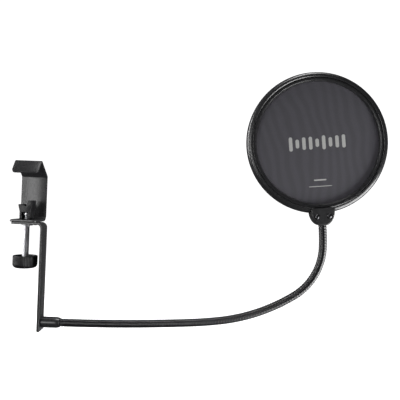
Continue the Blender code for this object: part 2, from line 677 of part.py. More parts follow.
def hub_shell(name, side, head):
    """One half of the hub; side is -1 for the front half and 1 for the rear one."""
    deep = HUB_HALF_DEPTH
    inside = deep - HUB_WALL
    shell = prism(name, hub_outline(0, HUB_REACH_R), -deep, deep, mat=MATTE_PLASTIC, parent=head)
    add_bevel(shell, HUB_EDGE, angle=60)
    reach = FILTER_RISE
    wide = 2 * HUB_HALF_WIDTH
    far = sorted((-side * 3 * deep, side * GAP / 2))
    boolean(shell, block(f"{name}_split", (-wide, far[0], -reach), (wide, far[1], reach),
                         cutter=True, parent=head))
    hollow = prism(f"{name}_hollow", hub_outline(HUB_WALL, HUB_REACH_R - HUB_WALL), -inside, inside,
                   cutter=True, parent=head)
    boolean(shell, hollow)
    seat = turned(f"{name}_seat", (
        (RIM_R + GAP, inside),
        (RIM_R + GAP, -inside),
        (RIB_R, -inside),
        (RIB_R, inside),
    ), steps=2 * RING_STEPS, closed=True, cutter=True, location=(0, 0, FILTER_RISE),
        rotation=(math.pi / 2, 0, 0), parent=head)
    boolean(shell, seat)
    plate = sorted((side * GAP / 2, side * (inside + HUB_WALL / 2)))
    rib_half = HUB_HALF_WIDTH - 1.5 * HUB_WALL
    rib = block(f"{name}_rib", (-rib_half, plate[0], HUB_RIB_Z[0]), (rib_half, plate[1], HUB_RIB_Z[1]),
                cutter=True, parent=head)
    boolean(shell, rib, 'UNION')
    bore = NECK_R + GAP
    for tag, x in (("left", -HUB_SCREW_X), ("right", HUB_SCREW_X)):
        at = {"location": (x, 0, HUB_SCREW_Z), "rotation": (math.pi / 2, 0, 0), "parent": head}
        levels = sorted((-side * GAP / 2, -side * (inside + HUB_WALL / 2)))
        boolean(shell, rod(f"{name}_boss_{tag}", BOSS_R, *levels, steps=16, **at), 'UNION')
    boolean(shell, rod(f"{name}_neck_bore", bore, -HUB_BORE_TOP, HUB_BORE_TOP, parent=head))
    boolean(shell, rod(f"{name}_pocket", COLLAR_R + GAP, COLLAR_Z[0] - GAP, COLLAR_Z[1] + GAP,
                       parent=head))
    for tag, x in (("left", -HUB_SCREW_X), ("right", HUB_SCREW_X)):
        at = {"location": (x, 0, HUB_SCREW_Z), "rotation": (math.pi / 2, 0, 0), "parent": head}
        boolean(shell, rod(f"{name}_hole_{tag}", HUB_SCREW_R + GAP, -HUB_SCREW_HOLE, 2 * deep,
                           steps=16, **at))
        if side < 0:
            boolean(shell, rod(f"{name}_sink_{tag}", HUB_SINK_R, deep - HUB_SINK_DEPTH, 2 * deep,
                               steps=16, **at))


def hub_hardware(head):
    """The two hub screws, and the collar that is crimped on the neck inside the hub."""
    under = HUB_HALF_DEPTH - HUB_SINK_DEPTH + HUB_SCREW_SEAT
    dome = arc((0, under + GAP), (HUB_SCREW_HEAD_R, HUB_SCREW_CROWN - GAP), 90, 0, 4)
    span, slot, depth = HUB_RECESS
    for tag, x in (("left", -HUB_SCREW_X), ("right", HUB_SCREW_X)):
        at = {"location": (x, 0, HUB_SCREW_Z), "rotation": (math.pi / 2, 0, 0), "parent": head}
        screw = turned(f"hub_screw_{tag}", dome + [
            (HUB_SCREW_HEAD_R, under),
            (HUB_SCREW_R, under),
            (HUB_SCREW_R, HUB_SCREW_R / 2 - HUB_SCREW_TIP),
            (0, -HUB_SCREW_TIP),
        ], BLACK_SCREW, steps=16, **at)
        boolean(screw, cross_recess(f"hub_screw_recess_{tag}", span, slot, -2 * HUB_HALF_DEPTH,
                                    -under - depth, location=(x, 0, HUB_SCREW_Z), parent=head))
    low, high = COLLAR_Z
    turned("upper_collar", (
        (COLLAR_R, high),
        (COLLAR_R, low),
        (NECK_R + GAP, low),
        (NECK_R + GAP, high),
    ), ZINC, steps=24, closed=True, parent=head)


def filter_head():
    """Everything that the top of the neck carries, in a frame at the hub's foot."""
    lean = NECK_END[2] - math.pi / 2
    head = empty("filter_head", (NECK_END[0], AXIS_Y, NECK_END[1]), (0, -lean, 0))
    centre = (0, 0, FILTER_RISE)
    outer_rim(head, centre)
    hoops_and_meshes(head, centre)
    hub_shell("hub_front", -1, head)
    hub_shell("hub_rear", 1, head)
    hub_hardware(head)


# ---------------------------------------------------------------- assembly

FRAME = clamp_frame()
BRACKET = neck_bracket()
clamp_fasteners(FRAME, BRACKET)
SCREW_AXIS = empty("screw_axis", (0, AXIS_Y, 0))
spindle_and_knob(SCREW_AXIS)
swivel_button(SCREW_AXIS)
pressure_pad(SCREW_AXIS)
lower_ferrule(BRACKET)
neck()
filter_head()
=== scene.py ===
import math

import bmesh
import bpy
import numpy as np
from mathutils import Matrix, Vector


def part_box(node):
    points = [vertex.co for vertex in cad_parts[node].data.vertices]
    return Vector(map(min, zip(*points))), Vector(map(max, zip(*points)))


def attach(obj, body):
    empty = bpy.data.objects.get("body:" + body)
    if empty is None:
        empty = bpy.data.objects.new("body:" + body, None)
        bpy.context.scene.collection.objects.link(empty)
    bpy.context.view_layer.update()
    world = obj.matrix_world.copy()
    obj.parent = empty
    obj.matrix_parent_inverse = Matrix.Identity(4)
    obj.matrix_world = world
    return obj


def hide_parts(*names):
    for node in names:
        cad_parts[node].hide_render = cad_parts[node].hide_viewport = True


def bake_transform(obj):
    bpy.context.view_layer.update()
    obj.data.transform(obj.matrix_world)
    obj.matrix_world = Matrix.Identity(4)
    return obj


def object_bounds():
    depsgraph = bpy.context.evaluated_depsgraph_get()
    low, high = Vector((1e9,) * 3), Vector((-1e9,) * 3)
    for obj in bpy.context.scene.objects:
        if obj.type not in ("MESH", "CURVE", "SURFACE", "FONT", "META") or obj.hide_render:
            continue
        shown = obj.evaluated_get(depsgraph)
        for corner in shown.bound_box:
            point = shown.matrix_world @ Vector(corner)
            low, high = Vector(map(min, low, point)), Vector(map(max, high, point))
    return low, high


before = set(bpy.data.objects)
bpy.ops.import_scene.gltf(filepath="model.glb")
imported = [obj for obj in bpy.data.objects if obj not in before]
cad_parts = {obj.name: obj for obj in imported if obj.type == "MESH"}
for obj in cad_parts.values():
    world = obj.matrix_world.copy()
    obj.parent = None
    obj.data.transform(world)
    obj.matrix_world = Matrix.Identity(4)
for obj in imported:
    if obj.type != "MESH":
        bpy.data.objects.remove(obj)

CAD_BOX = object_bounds()

MM = 0.001
GAP = 0.3 * MM                      # clearance between neighbouring parts

# ---------------------------------------------------------------- driving sizes, as in the CAD model

RIM_LOW, RIM_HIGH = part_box("outer_rim")
CENTRE = (RIM_LOW + RIM_HIGH) / 2   # centre of the filter
AXIS_Y = CENTRE.y                   # the spindle, the neck and the filter share this plane
RIM_R = (RIM_HIGH.x - RIM_LOW.x) / 2
RIM_HALF_DEPTH = (RIM_HIGH.y - RIM_LOW.y) / 2

STRIP = 2.0 * MM
EDGE = 0.3 * MM
CLAMP_WIDTH = 24.2 * MM
CLAMP_CORNER = 3.0 * MM
FLOOR_Z = -20.0 * MM
BACK_TOP_Z = 20.0 * MM
FLOOR_DEPTH = 28.5 * MM
FLOOR_BEND = 5.0 * MM
RIDGE_DEPTH = 17.0 * MM
RIDGE_Z = 34.2 * MM
LIP_DEPTH = 26.5 * MM
LIP_Z = 22.8 * MM
JAW_BEND = 2.4 * MM

BAR_WIDTH = 15.0 * MM
BAR_CORNER = 2.0 * MM
BAR_BEND = 4.0 * MM
LEG_X = 15.0 * MM
LEG_BOTTOM_Z = -122.2 * MM
NECK_ROOT_Z = -114.0 * MM

SPINDLE_R = 3.0 * MM
SPINDLE_TIP_R = 1.2 * MM
SPINDLE_TIP_RISE = 5.2 * MM
SPINDLE_FOOT_DROP = 8.7 * MM        # how far the spindle reaches into the knob
THREAD_PITCH = 1.0 * MM
THREAD_DEPTH = 0.35 * MM
KNOB_R = 11.0 * MM
KNOB_TOP_Z = -53.3 * MM
KNOB_HEIGHT = 11.2 * MM
KNOB_FLUTES = 48
FLUTE_DEPTH = 0.3 * MM
KNOB_CORNER = 3.6 * MM
KNOB_CUP_R = 8.4 * MM
KNOB_CUP_DEPTH = 6.0 * MM
KNOB_CUP_DRAFT = 0.4 * MM
KNOB_BOSS_R = 5.2 * MM
KNOB_BOSS_DROP = 1.6 * MM
BUSH_R = 4.5 * MM
RIVET_X = 8.0 * MM
RIVET_R = 1.2 * MM
RIVET_HEAD_R = 2.0 * MM
BUTTON_R = 2.9 * MM
BUTTON_NECK_R = 2.2 * MM
BUTTON_HEAD_Z = (FLOOR_Z + 3.5 * MM, FLOOR_Z + 6.5 * MM)
BUTTON_FOOT_Z = FLOOR_Z + 0.6 * MM
BUTTON_BORE_Z = FLOOR_Z + 5.5 * MM
BUTTON_CHAMFER = 0.5 * MM
PAD_HEIGHT = 17.2 * MM
PAD_DEPTH = 11.0 * MM
PAD_BODY_HALF = 5.0 * MM
PAD_HORN_HALF = 6.3 * MM
PAD_WAIST = 7.0 * MM
PAD_HORN_FACES = (1.1 * MM, 2.8 * MM)
PAD_LEFT_DROP = 3.6 * MM
PAD_GROOVE_X = (-1.9 * MM, 0.5 * MM, 2.4 * MM)
PAD_GROOVE_DEPTH = 5.7 * MM
PAD_EDGE = 0.45 * MM

NECK_R = 3.6 * MM
CREST_R = NECK_R + GAP / 2         # the winding's crests stand a little proud of the plain neck
NECK_BENDS = ((120 * MM, 4.2), (27.5 * MM, 4.1), (73 * MM, 25.0), (54.5 * MM, 57.2), (19.8 * MM, 5.6))
NECK_BEND_REACH = 19 * MM           # a length to either side of each hinge; neck() works out its ends but does not use them
NECK_LENGTH = sum(length for length, turn in NECK_BENDS)
NECK_HINGES = tuple(station * MM for station in (20, 70, 120, 170, 220, 268))
NECK_BELOW = 10.0 * MM
NECK_ABOVE = 10.5 * MM
WIND_PITCH = 2.55 * MM
WIND_BROAD = 0.66                   # the broad wire's share of the pitch
NECK_SCREW_R = 2.0 * MM
NECK_SCREW_HEAD_R = 3.8 * MM
FERRULE_R = 5.0 * MM
FERRULE_MOUTH_R = 4.3 * MM
FERRULE_X = LEG_X + STRIP + GAP
FERRULE_LENGTH = 17.1 * MM
FERRULE_TAPER = 3.0 * MM
FERRULE_SOCKET = 10.3 * MM

RIM_BORE_R = 60.0 * MM
RIM_ROUND = 5.0 * MM
RIM_CHAMFER = 0.6 * MM
RING_STEPS = 240
RIB_R = 57.6 * MM
RIB_HALF = 1.2 * MM
HOOP_BORE_R = 56.2 * MM
HOOP_TOP = 5.3 * MM
HOOP_SLOPE = (2.0 * MM, 1.9 * MM)
HOOP_SHOULDER = (0.9 * MM, 0.4 * MM)
MESH_THICKNESS = 0.4 * MM
MESH_R = RIM_BORE_R - GAP
FILTER_RISE = 76.1 * MM
HUB_HALF_WIDTH = 11.1 * MM
HUB_HALF_DEPTH = 6.6 * MM
HUB_WALL = 2.0 * MM
HUB_CORNER = (9.0 * MM, 13.5 * MM)
HUB_SHOULDER = (6.0 * MM, 2.1 * MM)
HUB_REACH_R = RIM_BORE_R + GAP
HUB_EDGE = (1.3 * MM, 2.2 * MM)
SEAT_HALF = RIM_HALF_DEPTH - 1.8 * MM
HUB_SCREW_X = 5.7 * MM
HUB_SCREW_Z = 8.2 * MM
HUB_SCREW_R = 1.2 * MM
HUB_SCREW_HEAD_R = 2.25 * MM
HUB_SCREW_CROWN = 1.4 * MM
HUB_SCREW_SEAT = 0.2 * MM
HUB_SCREW_RIM = 0.1 * MM
HUB_SCREW_END = (3.2 * MM, 3.8 * MM)
HUB_RECESS = (1.3 * MM, 0.36 * MM, 0.5 * MM)
HUB_RECESS_TURN = 0.35
HUB_SINK_R = 2.6 * MM
HUB_SINK_DEPTH = 0.9 * MM
HUB_BORE_HALF = 11.0 * MM

# Print: level bars (count, width, step, greatest height), and lines (width, height, drop, shift aside).
PRINT_BARS = (9, 3.2 * MM, 6.1 * MM, 13.0 * MM)
PRINT_LINES = ((11.5 * MM, 1.3 * MM, 34.3 * MM, 0.4 * MM), (21.0 * MM, 0.7 * MM, 40.1 * MM, 0.3 * MM))
PRINT_LIFT = 0.05 * MM

# Camera: level, in front of the clamp, turned a little about its own line of sight.
CAMERA_PLACE = (159.1 * MM, -467.0 * MM, 3.9 * MM)
CAMERA_ROLL = 2.2
CAMERA_LENS = 43.9

# Studio: a round pale floor that runs up into a wall, a dim room, and soft boxes (place, size, watts).
WORLD_LIGHT = 0.075
FLOOR_DROP = 0.12
COVE_REACH = 3.0
COVE_BEND = 1.0
COVE_HEIGHT = 4.0
SOFTBOXES = (
    ("front_softbox", (-0.53, -1.45, 0.06), (0.45, 0.55), 5.2),
    ("left_softbox", (-0.95, 0.1, 0.25), (0.3, 0.9), 14.0),
    ("right_softbox", (0.54, -0.1, -0.2), (0.3, 0.3), 3.6),
    ("top_softbox", (0.25, -0.1, 1.1), (0.7, 0.3), 8.0),
    ("strip_light", (-0.62, -0.62, 0.0), (0.09, 0.6), 3.0),
)


# ---------------------------------------------------------------- mesh helpers

def link(name, mesh, mat):
    """A new object for a mesh, with one material."""
    made = bpy.data.objects.new(name, mesh)
    bpy.context.scene.collection.objects.link(made)
    if mat is not None:
        mesh.materials.append(mat)
    return made


def smooth(mesh, angle=35):
    """Smooth shading that keeps the creases."""
    mesh.shade_smooth()
    mesh.set_sharp_from_angle(angle=math.radians(angle))


def arc(centre, radius, start, end, steps):
    """Points of an arc in degrees; radius is one number or a pair of half axes."""
    across, along = radius if isinstance(radius, tuple) else (radius, radius)
    turns = [math.radians(start + (end - start) * i / steps) for i in range(steps + 1)]
    return [(centre[0] + across * math.cos(t), centre[1] + along * math.sin(t)) for t in turns]


def rounded(corners, radius, steps=5, loop=False):
    """A 2D path whose corners are replaced by arcs; radius is one number or one for each corner."""
    count = len(corners)
    points = [] if loop else [Vector(corners[0])]
    turned_corners = range(count) if loop else range(1, count - 1)
    for order, i in enumerate(turned_corners):
        before, here, after = (Vector(corners[k % count]) for k in (i - 1, i, i + 1))
        into, out = (here - before), (after - here)
        r = radius[order] if isinstance(radius, (tuple, list)) else radius
        turn = into.angle(out)
        reach = min(r * math.tan(turn / 2), 0.45 * into.length, 0.45 * out.length)
        r = reach / math.tan(turn / 2) if turn > 1e-4 else 0.0
        into, out = into.normalized(), out.normalized()
        start = here - into * reach
        side = math.copysign(1.0, into.cross(out))
        centre = start + Vector((-into.y, into.x)) * side * r
        for k in range(steps + 1):
            points.append(centre + Matrix.Rotation(side * turn * k / steps, 2) @ (start - centre))
    return points if loop else points + [Vector(corners[-1])]


def skin(name, rings, mat, loop=False):
    """A surface through rings of points; with loop the last meets the first, or else both ends are closed."""
    count, around = rings.shape[:2]
    index = np.arange(count * around).reshape(count, around)
    near = index if loop else index[:-1]
    far = np.roll(index, -1, axis=0) if loop else index[1:]
    quads = np.stack([near, np.roll(near, -1, 1), np.roll(far, -1, 1), far], axis=-1).reshape(-1, 4)
    faces = quads.tolist()
    if not loop:
        faces += [index[0][::-1].tolist(), index[-1].tolist()]
    mesh = bpy.data.meshes.new(name)
    mesh.from_pydata(rings.reshape(-1, 3).tolist(), [], faces)
    form = bmesh.new()
    form.from_mesh(mesh)
    bmesh.ops.recalc_face_normals(form, faces=form.faces)
    form.to_mesh(mesh)
    form.free()
    smooth(mesh)
    return link(name, mesh, mat)


def turned(name, profile, mat=None, place=Matrix(), steps=64, loop=False):
    """A profile of (radius, height) turned about the local Z axis; an open one is closed by flat ends."""
    turns = np.arange(steps) * (math.tau / steps)
    radius, height = np.array([tuple(p) for p in profile]).T
    rings = np.stack([
        radius[:, None] * np.cos(turns),
        radius[:, None] * np.sin(turns),
        np.repeat(height[:, None], steps, axis=1),
    ], axis=-1)
    made = skin(name, rings, mat, loop)
    made.data.transform(place)
    return made


def rod(name, radius, low, high, place=Matrix(), steps=48):
    """A plain round cutter."""
    return cutter(turned(name, [(radius, low), (radius, high)], None, place, steps))


def prism(name, outline, low, high, mat=None, place=Matrix()):
    """A flat outline in the local XZ plane, extruded along Y from low to high."""
    rings = np.array([[(x, y, z) for x, z in outline] for y in (low, high)])
    made = skin(name, rings, mat)
    made.data.transform(place)
    return made


def cutter(made):
    """Hide an object that only cuts others."""
    made.hide_render = True
    made.display_type = 'WIRE'
    return made


def cut(target, *tools, operation='DIFFERENCE'):
    """Cut others out of an object, and keep the result as its mesh."""
    for tool in tools:
        modifier = target.modifiers.new(tool.name, 'BOOLEAN')
        modifier.operation = operation
        modifier.solver = 'EXACT'
        modifier.object = tool
    apply_modifiers(target)
    for tool in tools:
        bpy.data.objects.remove(tool)
    return target


def apply_modifiers(target):
    """Replace an object's mesh by what its modifiers make of it."""
    graph = bpy.context.evaluated_depsgraph_get()
    mesh = bpy.data.meshes.new_from_object(target.evaluated_get(graph), depsgraph=graph)
    target.modifiers.clear()
    target.data = mesh
    smooth(mesh)
    return target


def bevel(target, width, segments=4, angle=40):
    """Round every edge sharper than the angle."""
    modifier = target.modifiers.new("edges", 'BEVEL')
    modifier.width = width
    modifier.segments = segments
    modifier.limit_method = 'ANGLE'
    modifier.angle_limit = math.radians(angle)
    return apply_modifiers(target)


def fit(made, body, slot, *nodes):
    """Say what a piece rides on and what it stands for; the slot argument, where its finish would come from,
    is not used.
    """
    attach(made, body)
    if nodes:
        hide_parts(*nodes)
    return made


# ---------------------------------------------------------------- materials

class Material:
    """A Principled material whose sockets are fed by texture nodes in the piece's own coordinates."""

    def __init__(self, name, roughness, metallic=0.0, specular=0.5, coat=0.0):
        self.made = bpy.data.materials.new(name)
        self.made.use_nodes = True
        self.tree = self.made.node_tree
        self.shader = self.tree.nodes["Principled BSDF"]
        self.shader.inputs["Roughness"].default_value = roughness
        self.shader.inputs["Metallic"].default_value = metallic
        self.shader.inputs["Specular IOR Level"].default_value = specular
        self.shader.inputs["Coat Weight"].default_value = coat
        self.coords = self.tree.nodes.new("ShaderNodeTexCoord").outputs["Object"]

    def node(self, kind, **settings):
        made = self.tree.nodes.new(kind)
        for key, value in settings.items():
            setattr(made, key, value)
        return made

    def feed(self, socket, source):
        if isinstance(source, bpy.types.NodeSocket):
            self.tree.links.new(source, socket)
        else:
            socket.default_value = source
        return self

    def maths(self, operation, first, second=0.0):
        made = self.node("ShaderNodeMath", operation=operation)
        self.feed(made.inputs[0], first)
        self.feed(made.inputs[1], second)
        return made.outputs[0]

    def noise(self, size, detail=3.0, stretch=(1, 1, 1), rough=0.5):
        """Noise whose features are about size metres across."""
        mapping = self.node("ShaderNodeMapping")
        mapping.inputs["Scale"].default_value = [1 / (size * s) for s in stretch]
        self.feed(mapping.inputs["Vector"], self.coords)
        made = self.node("ShaderNodeTexNoise")
        made.inputs["Scale"].default_value = 1.0
        made.inputs["Detail"].default_value = detail
        made.inputs["Roughness"].default_value = rough
        self.feed(made.inputs["Vector"], mapping.outputs[0])
        return made.outputs["Fac"]

    def span(self, value, low, high, start=0.3, end=0.7):
        """Map a factor from start..end to low..high."""
        made = self.node("ShaderNodeMapRange")
        self.feed(made.inputs["Value"], value)
        for key, number in (("From Min", start), ("From Max", end), ("To Min", low), ("To Max", high)):
            made.inputs[key].default_value = number
        return made.outputs["Result"]

    def blend(self, factor, first, second):
        """A colour between two colours or colour sockets."""
        made = self.node("ShaderNodeMix", data_type='RGBA')
        self.feed(made.inputs[0], factor)
        for socket, source in ((made.inputs[6], first), (made.inputs[7], second)):
            self.feed(socket, (*source, 1.0) if isinstance(source, tuple) else source)
        return made.outputs[2]

    def colour(self, source):
        return self.feed(self.shader.inputs["Base Color"], source)

    def roughness(self, source):
        return self.feed(self.shader.inputs["Roughness"], source)

    def bump(self, height, depth, strength=1.0):
        made = self.node("ShaderNodeBump")
        made.inputs["Strength"].default_value = strength
        made.inputs["Distance"].default_value = depth
        self.feed(made.inputs["Height"], height)
        previous = self.shader.inputs["Normal"].links
        if previous:
            self.feed(made.inputs["Normal"], previous[0].from_socket)
        return self.feed(self.shader.inputs["Normal"], made.outputs["Normal"])

    def worn_edges(self, base, bare, start=0.52, end=0.6):
        """The base colour, rubbed to another one along convex edges."""
        point = self.node("ShaderNodeNewGeometry").outputs["Pointiness"]
        patchy = self.maths('MULTIPLY', self.span(point, 0.0, 1.0, start, end), self.noise(1.5 * MM))
        return self.blend(patchy, base, bare)


def plastic(name, dark, light, roughness, grain, depth, specular=0.5):
    """Moulded plastic: a fine grain, faint cloudiness and uneven gloss."""
    m = Material(name, roughness, specular=specular)
    m.colour(m.worn_edges(m.blend(m.noise(6 * MM), dark, light), tuple(2.2 * c for c in light)))
    m.roughness(m.span(m.noise(2.5 * MM), roughness - 0.05, roughness + 0.07))
    m.bump(m.noise(grain, detail=2.0), depth)
    return m.made


def painted_steel():
    """Gloss black powder coat: orange peel, dust-fine sparkle in the gloss and thin wear on edges."""
    m = Material("powder_coat", 0.3, specular=0.5, coat=0.2)
    m.shader.inputs["Coat Roughness"].default_value = 0.18
    m.colour(m.worn_edges(m.blend(m.noise(9 * MM), (0.012, 0.012, 0.013), (0.021, 0.021, 0.022)),
                          (0.14, 0.14, 0.145)))
    m.roughness(m.span(m.noise(1.2 * MM, detail=5.0), 0.24, 0.42))
    m.bump(m.noise(0.9 * MM, detail=1.5), 0.035 * MM)
    m.bump(m.noise(0.12 * MM), 0.006 * MM)
    return m.made


def plated(name, colour, dull, roughness, streak):
    """Plated metal with cloudy dulling and streaks along Z."""
    m = Material(name, roughness, metallic=1.0)
    m.colour(m.blend(m.noise(1.8 * MM, detail=4.0), colour, dull))
    m.roughness(m.span(m.noise(0.5 * MM, stretch=(1, 1, streak)), roughness - 0.04, roughness + 0.12))
    m.bump(m.noise(0.15 * MM, stretch=(1, 1, streak)), 0.004 * MM)
    return m.made


def enamelled_wire():
    """Black enamelled winding, with the gloss rubbed unevenly along the turns' crests."""
    m = Material("enamelled_wire", 0.2)
    m.colour(m.worn_edges(m.blend(m.noise(3 * MM), (0.006, 0.006, 0.007), (0.012, 0.012, 0.013)),
                          (0.035, 0.035, 0.037), 0.56, 0.66))
    m.roughness(m.span(m.noise(0.7 * MM, detail=4.0), 0.1, 0.2))
    m.bump(m.noise(0.1 * MM), 0.004 * MM)
    return m.made


THREAD_STEP = 0.42 * MM             # pitch of the mesh's threads


def mesh_cloth(name, turn, shade):
    """Plain weave: threads both ways with painted shade in the gaps and holes between them, and the slow
    bands of two plies.
    """
    m = Material(name, 0.62, specular=0.35)
    m.shader.inputs["Sheen Weight"].default_value = 0.25
    m.shader.inputs["Sheen Roughness"].default_value = 0.4
    spun = m.node("ShaderNodeMapping")
    spun.inputs["Rotation"].default_value = (0, turn, 0)
    m.feed(spun.inputs["Vector"], m.coords)
    axes = m.node("ShaderNodeSeparateXYZ")
    m.feed(axes.inputs[0], spun.outputs[0])
    ridges = []
    for axis in (0, 2):
        phase = m.maths('MULTIPLY', axes.outputs[axis], math.pi / THREAD_STEP)
        ridges.append(m.maths('ABSOLUTE', m.maths('SINE', phase)))
    height = m.maths('MAXIMUM', *ridges)
    painted_hole_shade_mask = m.maths('MULTIPLY', *ridges)
    bands = m.node("ShaderNodeTexWave", wave_type='RINGS', rings_direction='Y')
    bands.inputs["Scale"].default_value = 34.0
    bands.inputs["Distortion"].default_value = 7.0
    bands.inputs["Detail"].default_value = 1.5
    bands.inputs["Detail Scale"].default_value = 0.6
    m.feed(bands.inputs["Vector"], m.coords)
    yarn = m.blend(m.span(bands.outputs["Fac"], 0.0, 1.0, 0.15, 0.85),
                   tuple(0.86 * c for c in shade), tuple(1.16 * c for c in shade))
    slub = m.blend(m.noise(0.5 * MM, detail=4.0), tuple(0.75 * c for c in shade), yarn)
    # painted shade: the gaps between the threads are darkened towards 0.4 of the cloth's tone, standing for
    # the shade seen through holes that are not cut
    m.colour(m.blend(m.span(painted_hole_shade_mask, 0.35, 1.0, 0.0, 1.0), tuple(0.4 * c for c in shade), slub))
    m.bump(height, 0.05 * MM, 0.5)
    return m.made


def print_ink():
    """Off-white screen print that thins over the cloth's threads."""
    m = Material("print_ink", 0.55, specular=0.4)
    m.colour(m.blend(m.noise(0.45 * MM, detail=4.0), (0.3, 0.3, 0.295), (0.46, 0.46, 0.45)))
    m.bump(m.noise(0.4 * MM, detail=2.0), 0.03 * MM)
    return m.made


STEEL = painted_steel()
CHROME = plated("chrome_plate", (0.74, 0.74, 0.76), (0.58, 0.58, 0.6), 0.3, 3)
ZINC = plated("zinc_plate", (0.52, 0.52, 0.53), (0.38, 0.38, 0.39), 0.32, 6)
BLACK_OXIDE = plated("black_oxide", (0.11, 0.11, 0.115), (0.06, 0.06, 0.065), 0.3, 2)
SOOT = ((0.006, 0.006, 0.007), (0.011, 0.011, 0.012))
RIM_BLACK = ((0.009, 0.009, 0.01), (0.015, 0.015, 0.016))
HUB_BLACK = ((0.012, 0.012, 0.013), (0.02, 0.02, 0.021))
KNOB_PLASTIC = plastic("knob_plastic", *SOOT, 0.36, 0.18 * MM, 0.003 * MM, specular=0.25)
PAD_PLASTIC = plastic("pad_plastic", *SOOT, 0.34, 0.2 * MM, 0.003 * MM, specular=0.3)
HUB_PLASTIC = plastic("hub_plastic", *HUB_BLACK, 0.33, 0.22 * MM, 0.008 * MM)
RIM_PLASTIC = plastic("rim_plastic", *RIM_BLACK, 0.3, 0.3 * MM, 0.002 * MM)
WIRE = enamelled_wire()
INK = print_ink()


# ---------------------------------------------------------------- clamp frame and bracket

def bent_strip(name, path, width, rounding, place):
    """A strip of constant thickness along a 2D path in the local XZ plane, wide along Y, with round ends."""
    ends = [rounding * (1 - math.cos(math.radians(turn))) for turn in range(0, 91, 10)]
    first = (path[1] - path[0]).normalized()
    last = (path[-2] - path[-1]).normalized()
    points = [path[0] + first * step for step in ends] + path[1:-1]
    points += [path[-1] + last * step for step in reversed(ends)]
    trims = [rounding - math.sqrt(max(0.0, rounding ** 2 - (rounding - step) ** 2)) for step in ends]
    halves = [width / 2 - trim for trim in trims]
    halves += [width / 2] * (len(path) - 2) + halves[::-1]
    mesh = bpy.data.meshes.new(name)
    form = bmesh.new()
    rows = [[form.verts.new((p.x, side * half, p.y)) for side in (-1, 1)] for p, half in zip(points, halves)]
    for near, far in zip(rows, rows[1:]):
        form.faces.new((near[0], near[1], far[1], far[0]))
    form.normal_update()
    bmesh.ops.dissolve_limit(form, angle_limit=math.radians(0.5), verts=form.verts, edges=form.edges)
    form.to_mesh(mesh)
    form.free()
    made = link(name, mesh, STEEL)
    made.data.transform(place)
    solidify = made.modifiers.new("thickness", 'SOLIDIFY')
    solidify.thickness = STRIP
    solidify.offset = 0.0
    solidify.use_even_offset = True
    return bevel(made, EDGE, segments=3, angle=45)


def clamp_and_bracket():
    """Both bent strips with their screw holes."""
    half = STRIP / 2
    corners = ((FLOOR_DEPTH, FLOOR_Z - half), (-half, FLOOR_Z - half), (-half, BACK_TOP_Z + half / 2),
               (RIDGE_DEPTH, RIDGE_Z), (LIP_DEPTH, LIP_Z))
    clamp = bent_strip("clamp_strip", rounded(corners, (FLOOR_BEND, JAW_BEND, JAW_BEND), 12), CLAMP_WIDTH,
                       CLAMP_CORNER, Matrix.Rotation(-math.pi / 2, 4, 'Z'))
    bar_z = FLOOR_Z - STRIP - GAP - half
    corners = ((-CLAMP_WIDTH / 2, bar_z), (LEG_X + half, bar_z), (LEG_X + half, LEG_BOTTOM_Z))
    leg = bent_strip("bracket_strip", rounded(corners, (BAR_BEND,), 12), BAR_WIDTH, BAR_CORNER,
                     Matrix.Translation((0, AXIS_Y, 0)))
    top = FLOOR_Z - 0.1 * MM
    below = FLOOR_Z - 3 * STRIP
    for strip in (clamp, leg):
        cut(strip,
            rod("bush_hole", BUSH_R + GAP, below, FLOOR_Z + STRIP, Matrix.Translation((0, AXIS_Y, 0))),
            cutter(turned("rivet_hole", [
                (RIVET_R + GAP, below),
                (RIVET_R + GAP, top - 1.5 * MM),
                (RIVET_HEAD_R + GAP, top - 1.5 * GAP),
                (RIVET_HEAD_R + GAP, FLOOR_Z + STRIP),
            ], None, Matrix.Translation((RIVET_X, AXIS_Y, 0)), 32)))
    against_x = Matrix.Translation((LEG_X, AXIS_Y, NECK_ROOT_Z)) @ Matrix.Rotation(-math.pi / 2, 4, 'Y')
    cut(leg, cutter(turned("neck_screw_hole", [
        (NECK_SCREW_R + GAP, -2 * STRIP),
        (NECK_SCREW_R + GAP, -1.9 * MM),
        (NECK_SCREW_HEAD_R + GAP, -0.4 * MM),
        (NECK_SCREW_HEAD_R + GAP, STRIP),
    ], None, against_x, 48)))
    fit(clamp, "clamp", "black_steel", "clamp_frame")
    fit(leg, "clamp", "black_steel", "neck_bracket")


# ---------------------------------------------------------------- screw, knob and pad

SCREW_PLACE = Matrix.Translation((0, AXIS_Y, 0))


def spindle():
    """The threaded rod: one ridge that climbs a pitch a turn, run out at both ends."""
    foot = KNOB_TOP_Z - SPINDLE_FOOT_DROP
    shoulder = FLOOR_Z
    tip = FLOOR_Z + SPINDLE_TIP_RISE
    steps = 40
    turns = np.arange(steps) * (math.tau / steps)
    heights = np.arange(foot, shoulder, THREAD_PITCH / 10)
    phase = heights[:, None] / THREAD_PITCH - turns / math.tau
    flank = np.abs((phase % 1.0) - 0.5) * 2
    run_out = np.clip(np.minimum(heights - foot, shoulder - heights) / (1.2 * THREAD_PITCH), 0, 1)[:, None]
    ridge = np.sin(np.clip(flank * 1.7 - 0.25, 0, 1) * math.pi / 2)
    root_r = SPINDLE_R - THREAD_DEPTH
    radius = root_r + THREAD_DEPTH * ridge * run_out
    rows = [np.stack([radius * np.cos(turns), radius * np.sin(turns),
                      np.repeat(heights[:, None], steps, 1)], axis=-1)]
    end = [(root_r, shoulder), (SPINDLE_TIP_R, shoulder + GAP), (SPINDLE_TIP_R, tip - GAP),
           (SPINDLE_TIP_R - GAP, tip)]
    for r, z in rounded(end, 0.15 * MM, 2):
        rows.append(np.array([[(r * math.cos(t), r * math.sin(t), z) for t in turns]]))
    made = skin("threaded_spindle", np.concatenate(rows), CHROME)
    made.data.transform(SCREW_PLACE)
    fit(made, "screw", "chrome", "spindle")


